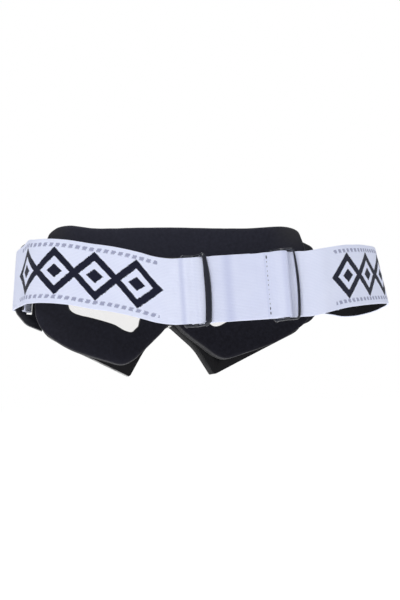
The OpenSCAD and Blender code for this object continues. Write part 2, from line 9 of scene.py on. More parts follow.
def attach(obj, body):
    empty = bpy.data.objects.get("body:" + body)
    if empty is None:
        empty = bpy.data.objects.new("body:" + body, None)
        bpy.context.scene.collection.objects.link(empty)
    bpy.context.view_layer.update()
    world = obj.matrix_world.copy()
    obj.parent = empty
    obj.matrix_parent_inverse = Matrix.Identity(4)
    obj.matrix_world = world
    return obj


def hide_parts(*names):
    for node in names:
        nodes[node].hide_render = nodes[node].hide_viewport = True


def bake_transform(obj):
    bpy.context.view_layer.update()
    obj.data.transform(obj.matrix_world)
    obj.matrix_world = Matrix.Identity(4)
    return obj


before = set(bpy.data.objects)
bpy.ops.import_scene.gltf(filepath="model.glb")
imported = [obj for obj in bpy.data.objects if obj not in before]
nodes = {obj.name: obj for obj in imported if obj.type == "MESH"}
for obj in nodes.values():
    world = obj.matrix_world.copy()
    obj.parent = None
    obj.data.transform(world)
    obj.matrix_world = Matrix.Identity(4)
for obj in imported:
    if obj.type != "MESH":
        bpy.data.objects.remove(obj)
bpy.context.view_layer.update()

# Motocross goggles seen from the wearer's side. Working lengths are in millimetres, as in the part's source.
mm = 0.001
scene = bpy.context.scene


# Shader helpers.
class Wire:
    def __init__(self, finish, socket):
        self.finish = finish
        self.socket = socket

    def maths(self, operation, *values):
        return self.finish.add("ShaderNodeMath", {"operation": operation}, dict(enumerate(values)))

    def __add__(self, other):
        return self.maths("ADD", self, other)

    __radd__ = __add__

    def __sub__(self, other):
        return self.maths("SUBTRACT", self, other)

    def __rsub__(self, other):
        return self.maths("SUBTRACT", other, self)

    def __mul__(self, other):
        return self.maths("MULTIPLY", self, other)

    __rmul__ = __mul__

    def __truediv__(self, other):
        return self.maths("DIVIDE", self, other)

    def __mod__(self, other):
        return self.maths("FLOORED_MODULO", self, other)

    def __abs__(self):
        return self.maths("ABSOLUTE", self)

    def floored(self):
        return self.maths("FLOOR", self)

    def wave(self):
        return self.maths("SINE", self)

    def lower(self, other):
        return self.maths("MINIMUM", self, other)

    def upper(self, other):
        return self.maths("MAXIMUM", self, other)

    def step(self, low, high, start=0.0, stop=1.0):
        inputs = {"Value": self, "From Min": low, "From Max": high, "To Min": start, "To Max": stop}
        return self.finish.add("ShaderNodeMapRange", {"interpolation_type": "SMOOTHSTEP"}, inputs)

    def above(self, limit, blur):
        return self.step(limit - blur, limit + blur)

    def below(self, limit, blur):
        return self.step(limit - blur, limit + blur, 1.0, 0.0)


class Finish:
    def __init__(self, name, colour, roughness, **constants):
        self.material = bpy.data.materials.new(name)
        self.material.use_nodes = True
        self.tree = self.material.node_tree
        self.shader = self.tree.nodes["Principled BSDF"]
        self.set("Base Color", colour)
        self.set("Roughness", roughness)
        for socket, value in constants.items():
            self.set(socket.replace("_", " "), value)

    def feed(self, socket, value):
        if isinstance(value, Wire):
            self.tree.links.new(value.socket, socket)
        elif socket.type == "RGBA" and len(value) == 3:
            socket.default_value = (*value, 1)
        else:
            socket.default_value = value

    def set(self, socket, value):
        self.feed(self.shader.inputs[socket], value)

    def add(self, kind, settings=None, inputs=None, out=0):
        node = self.tree.nodes.new(kind)
        for key, value in (settings or {}).items():
            setattr(node, key, value)
        for key, value in (inputs or {}).items():
            self.feed(node.inputs[key], value)
        return Wire(self, node.outputs[out])

    def split(self, vector):
        node = self.tree.nodes.new("ShaderNodeSeparateXYZ")
        self.feed(node.inputs[0], vector)
        return [Wire(self, o) for o in node.outputs]

    def place(self):
        return self.add("ShaderNodeTexCoord", out="Object")

    def web(self):
        return self.add("ShaderNodeUVMap", {"uv_map": "web"})

    def noise(self, vector, scale, detail=2.0, roughness=0.5):
        inputs = {"Vector": vector, "Scale": scale, "Detail": detail, "Roughness": roughness}
        return self.add("ShaderNodeTexNoise", None, inputs)

    def mix(self, share, first, second):
        return self.add("ShaderNodeMix", {"data_type": "RGBA"}, {0: share, 6: first, 7: second}, out=2)

    def bump(self, height, distance, strength=1.0):
        inputs = {"Height": height, "Distance": distance, "Strength": strength}
        self.set("Normal", self.add("ShaderNodeBump", None, inputs))


# Finishes.
strapDesign = {
    # the third colour is painted shade, for the bands across the webbing's soft hollows
    "white": (0.79, 0.83, 0.99), "shade": (0.7, 0.74, 0.93), "paintedShadeColour": (0.48, 0.52, 0.755),
    "navy": (0.009, 0.0105, 0.027), "grey": (0.3, 0.32, 0.47),
    "black": (0.004, 0.004, 0.0052), "blackShine": (0.0095, 0.0095, 0.012),
    "rib": 0.9, "pick": 0.55, "relief": 0.00009,  # pitches across and along; the relief is in metres
    "raggedAlong": 0.9, "raggedAcross": 0.7,  # how far the threads stray
    "cell": 27.0, "half": 12.4, "line": 2.9, "core": 4.4, "blur": 0.15,  # the row of diamonds
    "dashLow": 15.3, "dashHigh": 17.6, "dashStep": 4.6, "dashShare": 0.6, "dashBlur": 0.1,  # the dashes
}


def weave(along, across):
    # ribs run along the webbing and picks cross them, from places in millimetres
    ribs = (across * (2 * math.pi / strapDesign["rib"])).wave()
    turn = (across / strapDesign["rib"]).floored() * math.pi
    return ribs, (along * (2 * math.pi / strapDesign["pick"]) + turn).wave()


def strapWhite(name, start, cells, paintedShadeBands=()):
    # start and cells are the row of diamonds'; the last argument lists bands of painted shade across the
    # webbing, over its soft hollows, as (place along, half width, strength)
    d = strapDesign
    f = Finish(name, d["white"], 0.82, Sheen_Weight=0.1, Sheen_Roughness=0.5, Specular_IOR_Level=0.12)
    web = f.web()
    along, across, _ = f.split(web)
    along, across = along * 1000, across * 1000
    ragged = f.noise(web, 900.0, 1.0) - 0.5
    cloud = f.noise(web, 60.0, 3.0)
    pick = ((along + ragged * d["raggedAlong"]) / d["pick"]).floored() * d["pick"]
    cord = ((across + ragged * d["raggedAcross"]) / (d["rib"] / 2)).floored() * (d["rib"] / 2)
    # the diamonds: how far a thread is from the middle of its own, and past the ends of the row
    cellPlace = ((pick - start) / d["cell"]).upper(0.0).lower(float(cells)) % 1.0
    beyond = (start - pick).upper(pick - (start + cells * d["cell"])).upper(0.0)
    fromMiddle = abs(cellPlace - 0.5) * d["cell"] + beyond
    height = d["half"] - fromMiddle * (2 * d["half"] / d["cell"])
    outline = abs(abs(cord) - height).below(d["line"], d["blur"])
    core = (abs(cord) + fromMiddle * 0.8).below(d["core"], d["blur"])
    navy = outline.upper(core)
    rows = abs(cord).above(d["dashLow"], d["dashBlur"]) * abs(cord).below(d["dashHigh"], d["dashBlur"])
    dashPlace = ((pick + cord * 0.5) / d["dashStep"]) % 1.0
    dashes = rows * dashPlace.below(d["dashShare"], 0.02) * beyond.step(0.0, d["dashBlur"], 1.0, 0.0)
    ribs, picks = weave(along, across)
    ground = f.mix((ribs * 0.22 + picks * 0.12 + cloud * 0.6).step(-0.1, 0.75), d["shade"], d["white"])
    # painted shade: each band darkens the webbing towards the painted shade colour
    for place, half, depth in paintedShadeBands:
        away = abs(along + ragged * 0.8 - place) / half
        ground = f.mix(away.step(0.0, 1.0, depth, 0.0), ground, d["paintedShadeColour"])
    ground = f.mix(dashes * 0.9, ground, d["grey"])
    f.set("Base Color", f.mix(navy, ground, d["navy"]))
    f.set("Roughness", 0.74 + cloud * 0.16)
    f.bump(ribs * 0.5 + picks * 0.5 + navy * 0.35, d["relief"], 0.55)
    return f.material


def strapBlack(name):
    d = strapDesign
    f = Finish(name, (0.008, 0.008, 0.0105), 0.85, Sheen_Weight=0.07, Specular_IOR_Level=0.12)
    along, across, _ = f.split(f.web())
    ribs, picks = weave(along * 1000, across * 1000)
    f.set("Base Color", f.mix((ribs * 0.3 + picks * 0.3 + 0.5).step(0.0, 1.0), d["black"], d["blackShine"]))
    f.bump(ribs * 0.5 + picks * 0.5, d["relief"], 0.6)
    return f.material


def foamFinish(name, colour, light, cells, depth):
    f = Finish(name, colour, 0.95, Sheen_Weight=0.15, Sheen_Roughness=0.45, Specular_IOR_Level=0.1)
    place = f.place()
    inputs = {"Vector": place, "Scale": cells}
    holes = f.add("ShaderNodeTexVoronoi", {"feature": "F1"}, inputs, out="Distance")
    cloud = f.noise(place, cells * 0.12, 3.0)
    fine = f.noise(place, cells * 1.7, 2.0)
    f.set("Base Color", f.mix((holes * 0.6 + fine * 0.5 + cloud * 0.5).step(0.25, 1.15), colour, light))
    f.bump(holes * 0.7 + fine * 0.5, depth, 0.8)
    return f.material


fleeceLook = {
    # the corner colour is painted sheen for the upper corners
    "dark": (0.007, 0.0068, 0.0115), "pale": (0.034, 0.0355, 0.054), "corner": (0.042, 0.041, 0.043),
    "nap": 2600.0, "tufts": 480.0, "cloud": 55.0, "relief": 0.00035,
    "paintedLightHeight": (-0.03, 0.055), "paintedLightSide": (-0.07, 0.09),  # where the painted light starts and is full, in metres: lighter towards the top and the wearer's left
    "sheenCornerHeight": (0.03, 0.05), "sheenCornerSquare": (0.0042, 0.0074),  # where the painted sheen of the upper corners starts and is full; the second is x squared
}


def fleeceFinish(name):
    d = fleeceLook
    f = Finish(name, (0.018, 0.0185, 0.026), 0.97, Sheen_Weight=0.28, Sheen_Roughness=0.45,
               Specular_IOR_Level=0.1)
    place = f.place()
    nap = f.noise(place, d["nap"], 2.0, 0.7)
    tufts = f.noise(place, d["tufts"], 3.0)
    cloud = f.noise(place, d["cloud"], 3.0)
    side, _, height = f.split(place)
    # painted light: the fleece is painted lighter towards the top and towards the wearer's left
    paintedLight = height.step(*d["paintedLightHeight"]) * 0.75 + side.step(*d["paintedLightSide"]) * 0.3
    felt = f.mix(nap * 0.3 + tufts * 0.45 + cloud * 0.2 + paintedLight * 0.6 - 0.42, d["dark"], d["pale"])
    # painted sheen: the upper corners are painted lighter and greyer, where the fleece turns away
    corner = (side * side).step(*d["sheenCornerSquare"]) * height.step(*d["sheenCornerHeight"])
    f.set("Base Color", f.mix(corner * 0.65, felt, d["corner"]))
    f.set("Roughness", 0.9 + cloud * 0.1)
    f.bump(nap * 0.55 + tufts * 0.6, d["relief"], 0.7)
    return f.material


def plasticFinish(name, colour, roughness, coat, grain, scuff, shine, polished=None):
    # polished: how far ahead of the temples the polished front starts, in metres, and its coat
    f = Finish(name, colour, roughness, Coat_Roughness=0.08, Specular_IOR_Level=shine)
    place = f.place()
    cloud = f.noise(place, 40.0, 4.0)
    stretched = f.add("ShaderNodeMapping", None, {"Vector": place, "Scale": (90.0, 90.0, 900.0)})
    scratch = f.noise(stretched, 1.0, 3.0)
    texture = f.noise(place, 2400.0, 2.0)
    worn = scratch.step(0.62, 0.78) * cloud.step(0.45, 0.75)
    f.set("Base Color", f.mix(worn * 0.35 + cloud * 0.15, colour, [min(1, c * 2.6 + 0.01) for c in colour]))
    f.set("Roughness", roughness + worn * scuff + cloud * 0.06)
    if polished:
        start, frontCoat = polished
        ahead = f.split(place)[1] * -1.0
        coat = ahead.step(start, start + 0.002) * (frontCoat - coat) + coat
    f.set("Coat Weight", coat * (1.0 - worn))
    f.bump(texture * grain + scratch * 0.12, 0.00004, 0.5)
    return f.material


def lensFinish(name):
    f = Finish(name, (0.62, 0.4, 0.36), 0.04, IOR=1.585, Specular_IOR_Level=0.5, Coat_Roughness=0.03)
    place = f.place()
    haze = f.noise(place, 30.0, 3.0)
    specks = f.noise(place, 1500.0, 2.0)
    f.set("Roughness", 0.03 + haze * 0.05 + specks.step(0.7, 0.8) * 0.2)
    f.set("Alpha", 0.075 + haze * 0.03 + specks.step(0.74, 0.82) * 0.1)
    f.bump(haze, 0.0001, 0.1)
    return f.material


def threadFinish(name, colour):
    f = Finish(name, colour, 0.7, Sheen_Weight=0.2)
    twist = (f.split(f.place())[2] * 9000.0).wave()
    f.set("Base Color", f.mix(twist.step(-1.0, 1.0), colour, [min(1.0, c * 1.4 + 0.004) for c in colour]))
    f.bump(twist, 0.00005, 0.5)
    return f.material


noPattern = 9000.0  # a start past the webbing's end leaves it plain
# bands of painted shade on the outer layer: one broad and faint over most of it, the others narrow over its
# soft hollows
outerPaintedShade = [(30.0, 60.0, 0.22), (14.0, 5.0, 0.5), (37.6, 1.0, 0.3), (50.0, 3.0, 0.35), (54.2, 0.8, 0.5)]
finishes = {
    "strapPlain": strapWhite("elasticPlainWhite", noPattern, 1),
    "strapOuter": strapWhite("elasticPlainOuter", noPattern, 1, outerPaintedShade),
    "strapBlack": strapBlack("elasticBlackBacking"),
    "firm": foamFinish("firmFoam", (0.0105, 0.0105, 0.012), (0.03, 0.03, 0.034), 1300.0, 0.0004),
    "soft": foamFinish("softFoam", (0.012, 0.012, 0.0145), (0.034, 0.034, 0.04), 950.0, 0.0005),
    "filter": foamFinish("filterFoam", (0.012, 0.012, 0.013), (0.036, 0.036, 0.038), 520.0, 0.0007),
    "fleece": fleeceFinish("faceFleece"),
    "frame": plasticFinish("glossFramePlastic", (0.004, 0.004, 0.0055), roughness=0.24, coat=0.05,
                           grain=0.1, scuff=0.3, shine=0.08, polished=(0.052, 0.8)),
    "notch": plasticFinish("satinNotchPlastic", (0.0055, 0.0055, 0.007), roughness=0.55, coat=0.0,
                           grain=0.3, scuff=0.1, shine=0.02),
    "outrigger": plasticFinish("satinOutriggerPlastic", (0.012, 0.0125, 0.018), roughness=0.38, coat=0.03,
                               grain=0.35, scuff=0.25, shine=0.22),
    "slider": plasticFinish("sliderPlastic", (0.009, 0.011, 0.0205), roughness=0.22, coat=0.35,
                            grain=0.12, scuff=0.25, shine=0.4),
    "post": plasticFinish("postPlastic", (0.014, 0.014, 0.016), roughness=0.3, coat=0.2,
                          grain=0.2, scuff=0.2, shine=0.4),
    "lens": lensFinish("clearLens"),
    "thread": threadFinish("navyThread", (0.006, 0.007, 0.016)),
    "paleThread": threadFinish("paleThread", (0.6, 0.63, 0.78)),
}
print("finishes made:", len(finishes))


# Geometry helpers.
def unit(v):
    v = np.asarray(v, float)
    return v / np.linalg.norm(v)


def catmull(a, b, c, d, t):
    square, cube = 2 * a - 5 * b + 4 * c - d, 3 * b - a - 3 * c + d
    return 0.5 * (2 * b + (c - a) * t + square * t * t + cube * t ** 3)


def smoothShare(t):
    # 0 below 0, 1 above 1, and eased between them
    t = min(1.0, max(0.0, t))
    return t * t * (3 - 2 * t)


def bulged(at, bulges):
    # bulges: (middle, width, height) of each soft swell
    return sum(height * math.exp(-((at - middle) / width) ** 2) for middle, width, height in bulges)


def closedCurve(points, steps):
    p = np.asarray(points, float)
    n = len(p)
    spans = [(p[i - 1], p[i], p[(i + 1) % n], p[(i + 2) % n]) for i in range(n)]
    return np.array([catmull(*span, j / steps) for span in spans for j in range(steps)])


def smoothWay(points, spacing):
    # Hermite curve through unevenly spaced stations; columns past the third ride along
    p = np.asarray(points, float)
    gaps = np.linalg.norm(np.diff(p[:, :3], axis=0), axis=1)
    slopes = np.diff(p, axis=0) / gaps[:, None]
    turns = slopes[:-1] * gaps[1:, None] + slopes[1:] * gaps[:-1, None]
    turns /= (gaps[1:] + gaps[:-1])[:, None]
    tangents = np.vstack([slopes[:1], turns, slopes[-1:]])
    made = []
    for i, gap in enumerate(gaps):
        count = max(1, int(round(gap / spacing)))
        for j in range(count):
            t = j / count
            made.append((2 * t ** 3 - 3 * t * t + 1) * p[i] + (t ** 3 - 2 * t * t + t) * gap * tangents[i]
                        + (3 * t * t - 2 * t ** 3) * p[i + 1] + (t ** 3 - t * t) * gap * tangents[i + 1])
    return np.array(made + [p[-1]])


def makeMesh(name, points, faces, materials, smooth=True):
    mesh = bpy.data.meshes.new(name)
    mesh.from_pydata([tuple(p) for p in np.asarray(points) * mm], [], faces)
    for m in materials:
        mesh.materials.append(m)
    mesh.polygons.foreach_set("use_smooth", [smooth] * len(mesh.polygons))
    mesh.update()
    obj = bpy.data.objects.new(name, mesh)
    scene.collection.objects.link(obj)
    return obj


def turnOutwards(obj):
    bm = bmesh.new()
    bm.from_mesh(obj.data)
    bmesh.ops.recalc_face_normals(bm, faces=bm.faces)
    bm.to_mesh(obj.data)
    bm.free()


def applyAll(obj):
    bpy.context.view_layer.update()
    graph = bpy.context.evaluated_depsgraph_get()
    shown = obj.evaluated_get(graph)
    mesh = bpy.data.meshes.new_from_object(shown, preserve_all_data_layers=True, depsgraph=graph)
    obj.modifiers.clear()
    obj.data = mesh
    mesh.name = obj.name
    return obj


def socketId(tree, name):
    sockets = [s for s in tree.interface.items_tree if s.item_type == "SOCKET" and s.in_out == "INPUT"]
    return next(s.identifier for s in sockets if s.name == name)


def runTree(obj, tree, values):
    modifier = obj.modifiers.new(tree.name, "NODES")
    modifier.node_group = tree
    for name, value in values.items():
        modifier[socketId(tree, name)] = value
    return applyAll(obj)


class Tree:
    def __init__(self, name, inputs):
        self.group = bpy.data.node_groups.new(name, "GeometryNodeTree")
        self.group.interface.new_socket(name="Geometry", in_out="INPUT", socket_type="NodeSocketGeometry")
        for key, kind in inputs.items():
            self.group.interface.new_socket(name=key, in_out="INPUT", socket_type=kind)
        self.group.interface.new_socket(name="Geometry", in_out="OUTPUT", socket_type="NodeSocketGeometry")
        self.source = self.group.nodes.new("NodeGroupInput")
        self.result = self.group.nodes.new("NodeGroupOutput")

    def given(self, name):
        return self.source.outputs[name]

    def add(self, kind, settings=None, inputs=None, out=0):
        node = self.group.nodes.new(kind)
        for key, value in (settings or {}).items():
            setattr(node, key, value)
        for key, value in (inputs or {}).items():
            if isinstance(value, bpy.types.NodeSocket):
                self.group.links.new(value, node.inputs[key])
            else:
                node.inputs[key].default_value = value
        return node.outputs[out]

    def attribute(self, name, kind):
        return self.add("GeometryNodeInputNamedAttribute", {"data_type": kind}, {"Name": name})

    def maths(self, operation, *values):
        return self.add("ShaderNodeMath", {"operation": operation}, dict(enumerate(values)))

    def finish(self, geometry):
        self.group.links.new(geometry, self.result.inputs[0])
        return self.group


def makeRibTree():
    t = Tree("webbingRibs", {"Rib Pitch": "NodeSocketFloat", "Rib Height": "NodeSocketFloat",
                             "Face Finish": "NodeSocketMaterial", "Back Finish": "NodeSocketMaterial"})
    turn = t.maths("DIVIDE", t.attribute("across", "FLOAT"), t.given("Rib Pitch"))
    turn = t.maths("MULTIPLY", turn, 2 * math.pi)
    height = t.maths("MULTIPLY", t.maths("SINE", turn), t.given("Rib Height"))
    height = t.maths("MULTIPLY", height, t.attribute("ribShare", "FLOAT"))
    normal = t.add("GeometryNodeInputNormal")
    push = t.add("ShaderNodeVectorMath", {"operation": "SCALE"}, {0: normal, "Scale": height})
    shape = t.add("GeometryNodeSetPosition", None, {"Geometry": t.given("Geometry"), "Offset": push})
    shape = t.add("GeometryNodeRealizeInstances", None, {"Geometry": shape})
    shape = t.add("GeometryNodeSetMaterial", None, {"Geometry": shape, "Material": t.given("Face Finish")})
    isBack = {"data_type": "FLOAT", "operation": "GREATER_THAN"}
    back = t.add("FunctionNodeCompare", isBack, {0: t.attribute("backing", "FLOAT"), 1: 0.5})
    inputs = {"Geometry": shape, "Selection": back, "Material": t.given("Back Finish")}
    return t.finish(t.add("GeometryNodeSetMaterial", None, inputs))


def makeStitchTree():
    t = Tree("stitches", {
        "Stitch Length": "NodeSocketFloat", "Thread Radius": "NodeSocketFloat",
        "Size Spread": "NodeSocketFloat", "Seed": "NodeSocketInt", "Thread Finish": "NodeSocketMaterial",
    })
    ball = t.add("GeometryNodeMeshUVSphere", None, {"Segments": 10, "Rings": 7, "Radius": 1.0})
    spread = t.add("FunctionNodeRandomValue", {"data_type": "FLOAT"},
                   {2: 0.0, 3: t.given("Size Spread"), "Seed": t.given("Seed")}, out=1)
    share = t.maths("SUBTRACT", 1.0, spread)
    weight = t.attribute("threadWeight", "FLOAT")
    radius = t.maths("MULTIPLY", t.given("Thread Radius"), weight)
    reach = t.maths("MULTIPLY", t.given("Stitch Length"), t.maths("MULTIPLY", weight, 0.5))
    reach = t.maths("MULTIPLY", reach, share)
    size = t.add("ShaderNodeCombineXYZ", None, {0: radius, 1: t.maths("MULTIPLY", radius, 0.75), 2: reach})
    turn = t.add("FunctionNodeAlignRotationToVector", {"axis": "Z"},
                 {"Vector": t.attribute("threadWay", "FLOAT_VECTOR")})
    turn = t.add("FunctionNodeAlignRotationToVector", {"axis": "Y", "pivot_axis": "Z"},
                 {"Rotation": turn, "Vector": t.attribute("threadOut", "FLOAT_VECTOR")})
    copies = t.add("GeometryNodeInstanceOnPoints", None,
                   {"Points": t.given("Geometry"), "Instance": ball, "Rotation": turn, "Scale": size})
    shape = t.add("GeometryNodeRealizeInstances", None, {"Geometry": copies})
    shape = t.add("GeometryNodeSetShadeSmooth", None, {"Geometry": shape})
    inputs = {"Geometry": shape, "Material": t.given("Thread Finish")}
    return t.finish(t.add("GeometryNodeSetMaterial", None, inputs))


ribTree = makeRibTree()
stitchTree = makeStitchTree()

# Places shared with the part.
faceSize = {
    "width": 185.0, "radius": 155.0, "top": 57.5, "shoulder": 53.5, "cheekDrop": 40.0, "cheekX": 36.5,
    "nose": 11.0, "brow": 22.0, "temple": 18.0, "cheek": 22.5, "firm": 6.0, "soft": 7.0, "fleece": 3.0,
}
strapSize = {
    "width": 41.0, "thick": 1.4, "gap": 0.3, "backY": 34.0, "tilt": 2.2, "swing": 7.0,
    "sliderGap": 55.5, "sliderBar": 2.0, "sewn": 10.5, "foldGap": 0.12,
}
wingSize = {
    "x": 93.5, "y": -34.5, "turn": 12.0, "lean": 3.5,
    "barX": 9.75, "slotZ": 20.5, "barW": 7.5, "thick": 4.5,
}
frameSide = 93.0
backOrigin = np.array([-5.9, strapSize["backY"], 1.2])
layerPitch = strapSize["thick"] + strapSize["gap"]
foldStep = strapSize["thick"] + strapSize["foldGap"]  # between layers that are sewn together
tilt, swing = math.radians(strapSize["tilt"]), math.radians(strapSize["swing"])


def onBack(u, v, w=0.0):
    # u along the strap to the wearer's right, v towards the face, w up
    x, y, z = -u * math.cos(tilt) + w * math.sin(tilt), -v, u * math.sin(tilt) + w * math.cos(tilt)
    x, y = x * math.cos(swing) + y * math.sin(swing), y * math.cos(swing) - x * math.sin(swing)
    return backOrigin + [x, y, z]


backLean = [math.tan(tilt) * math.cos(swing), -math.tan(tilt) * math.sin(swing)]


def backStation(u, v):
    # a station of the webbing: its place, then how far x and y lean for each millimetre up
    return [*onBack(u, v), *backLean]


def atBar(side, outward, back, up):
    # a place from the middle of an outrigger's slot bar, and the webbing's lean there
    lean, turn = math.radians(wingSize["lean"]), math.radians(wingSize["turn"])
    lx = outward * math.cos(lean) - up * math.sin(lean) + wingSize["barX"]
    lz = up * math.cos(lean) + outward * math.sin(lean) + wingSize["slotZ"]
    x = wingSize["x"] + lx * math.cos(turn) - back * math.sin(turn)
    y = wingSize["y"] + lx * math.sin(turn) + back * math.cos(turn)
    return [side * x, y, lz, -side * math.tan(lean) * math.cos(turn), -math.tan(lean) * math.sin(turn)]


webTurn = strapSize["gap"] + strapSize["thick"] / 2  # from a slot bar's face to the webbing's middle
webOut = wingSize["barW"] / 2 + webTurn
barTurn = webTurn + strapSize["sliderBar"] / 2  # the same from the middle of a slider's bar


def arcAt(centre, start, stop, steps=4):
    angles = [math.radians(start + (stop - start) * i / steps) for i in range(steps + 1)]
    return [[centre[0] + webTurn * math.cos(a), centre[1] + webTurn * math.sin(a)] for a in angles]


def loopStations(side, plan, rise):
    # rise: heights at the start, the middle and the end of the loop
    p = np.asarray(plan, float)
    runs = np.concatenate([[0], np.cumsum(np.linalg.norm(np.diff(p, axis=0), axis=1))])
    heights = np.interp(2 * runs / runs[-1], [0, 1, 2], rise)
    return [atBar(side, q[0], q[1], h) for q, h in zip(p, heights)]


barCorner = [wingSize["barW"] / 2, wingSize["thick"] / 2]
slack = 1.5  # how much looser the webbing lies round the slot bars than its clearance
tailStep = layerPitch / math.cos(math.radians(30))
frontTurn = arcAt([-barCorner[0] - slack, -barCorner[1]], -90, -180)
leftLoop = [[webOut - 2.9, 16], [webOut - 1.5, 10], [webOut - 0.5, 5], [webOut, 1]]
leftLoop += arcAt([barCorner[0], -barCorner[1]], 0, -90) + frontTurn
leftLoop += [[-webOut - slack, 1], [-webOut + 0.3, 5.5], [-webOut + 2.6, 9.5]]
leftLoop += [[webOut - 4.9, 13], [webOut - 4.75, 16], [webOut - 5.5, 19]]
rightLoop = [[20, -12.1], [14, -8.6], [8, -5.1]] + arcAt([barCorner[0], -barCorner[1]], -60, -90) + frontTurn
rightLoop += arcAt([-barCorner[0] - slack, barCorner[1]], 180, 90) + arcAt(barCorner, 90, 0)
rightLoop += [[5.2, -1.2], [8.5, -3.5], [14, -8.6 + tailStep], [18.5, -11.22 + tailStep]]
leftEnd = loopStations(1, leftLoop, [-1, -2.2, -4.3])
rightEnd = loopStations(-1, rightLoop, [-9.2, -3.8, -4.3])

backY = strapSize["backY"]
leftWay = [backStation(u, 0) for u in (7, 3, -2, -7, -12)] + [
    [18.5, backY - 2.9, 2.6, 0.02, 0], [28, backY - 4.6, 5.6, 0, 0], [42, backY - 8.5, 9.6, 0, 0],
    [frameSide - 35.7, backY - 12, 12.6, 0, 0], [frameSide - 25, backY - 15.5, 15.2, 0, 0],
    [frameSide - 14.4, 14.2, 17.2, -0.01, 0], [frameSide - 5.8, 9, 18.4, -0.03, 0],
    [frameSide + 0.4, 3, 18.9, -0.05, 0],
] + leftEnd
rightWay = [backStation(u, layerPitch) for u in (36, 42, 48, 54, 60, 66, 70.5)] + [
    [-85, backY + 5.8, 5.6, 0.02, 0], [-95, backY + 0.8, 8.2, 0, 0],
    [-frameSide - 14, backY - 6.5, 11, 0.01, 0],
    [-frameSide - 26.8, 18, 13.4, 0.03, 0], [-frameSide - 40.7, 4, 16, 0.08, 0],
    [-frameSide - 51, -7, 17.6, 0.14, 0], [-frameSide - 57.2, -17, 18.4, 0.19, 0],
    [-frameSide - 59.3, -27, 17.8, 0.19, 0], [-frameSide - 56, -36.5, 15.7, 0.15, 0],
    [-frameSide - 48.5, -42, 13.7, 0.09, 0],
] + rightEnd


def barBend(turnU, barV, side):
    # half a turn of webbing round a slider's bar, as (u, v)
    angles = np.linspace(0, math.pi, 9)
    return [[turnU + side * barTurn * math.sin(a), barV - barTurn * math.cos(a)] for a in angles]


def sewnPlan(level):
    # webbing that turns round the left slider's bar and is stitched down on itself, as (u, v)
    barV, folded = level + barTurn, level + foldStep
    back = [[1.7, 2 * barV - level - 0.3], [3.9, folded + 1.25], [6.1, folded + 0.25], [8.1, folded]]
    return barBend(-0.5, barV, -1) + back + [[strapSize["sewn"], folded]]


def overPlan(barU):
    # webbing that climbs over a bar, turns round it and ends underneath, as (u, v)
    climb = [[42, -0.7], [44, -1.5], [47, -1.6], [48.6, -2.2], [50.4, -3.4], [52, -3.95]]
    return climb + barBend(barU + 0.5, -barTurn, 1) + [[52, 0], [49, 0.05], [45.3, 0.08]]


outerPlan = [[u, 0] for u in (7, 12, 17, 24, 31, 36.5)] + [[39.5, -0.1]] + overPlan(strapSize["sliderGap"])
innerPlan = [[u, layerPitch] for u in (36, 30, 22, 14, 8, 3)] + sewnPlan(layerPitch)


# Webbing.
webSize = {
    "spacing": 1.1, "columns": 128, "ribHeight": 0.035, "plainEdge": 0.8,
    "wave": 0.16, "ripple": 0.07, "rim": 0.12, "rimWidth": 1.4,  # how unevenly the webbing lies
}


def webCourse(stations, outwards):
    # places along the webbing, its directions up and out there, and how far along they lie
    s = smoothWay(stations, webSize["spacing"])
    place, lean = s[:, :3], s[:, 3:5]
    along = np.gradient(place, axis=0)
    along /= np.linalg.norm(along, axis=1)[:, None]
    up = np.column_stack([lean, np.ones(len(s))])
    up /= np.linalg.norm(up, axis=1)[:, None]
    out = outwards * np.cross(up, along)
    out /= np.linalg.norm(out, axis=1)[:, None]
    run = np.concatenate([[0], np.cumsum(np.linalg.norm(np.diff(place, axis=0), axis=1))])
    return place, up, out, run


def webRing():
    # (across, out, share of the ribs' height) round the webbing's section: its face, then its back
    half, thick = strapSize["width"] / 2, strapSize["thick"] / 2
    edge = [(-half, 0.3), (-half + 0.12, 0.72), (-half + 0.4, 0.94), (-half + 0.9, 1.0)]
    inner = [(t, 1.0) for t in np.linspace(-half + 1.3, half - 1.3, webSize["columns"])]
    columns = edge + inner + [(-t, h) for t, h in reversed(edge)]
    return [(t, h * thick, 1.0) for t, h in columns] + [(t, -h * thick, 0.4) for t, h in reversed(columns)]


def webFaces(n, m, outwards):
    # the walls between n sections of m points, then the cut ends, and 1.0 for each face of the backing
    faces, backing = [], []
    for i in range(n - 1):
        for j in range(m):
            a, b = i * m + j, i * m + (j + 1) % m
            faces.append((a, b, b + m, a + m) if outwards < 0 else (a, a + m, b + m, b))
            backing.append(1.0 if m // 2 + 2 <= j <= m - 4 else 0.0)
    last = (n - 1) * m
    for j in range(m // 2 - 1):
        k = m - 1 - j
        first, cut = (j, k, k - 1, j + 1), (last + j, last + j + 1, last + k - 1, last + k)
        faces += [first, cut] if outwards < 0 else [first[::-1], cut[::-1]]
        backing += [0.0, 0.0]
    return faces, backing


def unevenness(run, t, seed):
    # how far the woven face waves out, and how far its edge wanders up or down
    wave = webSize["wave"] * noise.noise(Vector((run * 0.05, t * 0.03, seed)))
    ripple = webSize["ripple"] * noise.noise(Vector((run * 0.2, t * 0.12, 3.3)))
    rim = 0.0
    if abs(t) > strapSize["width"] / 2 - webSize["rimWidth"]:
        rim = webSize["rim"] * noise.noise(Vector((run * 0.12, 9.1, seed)))
    return wave + ripple, rim


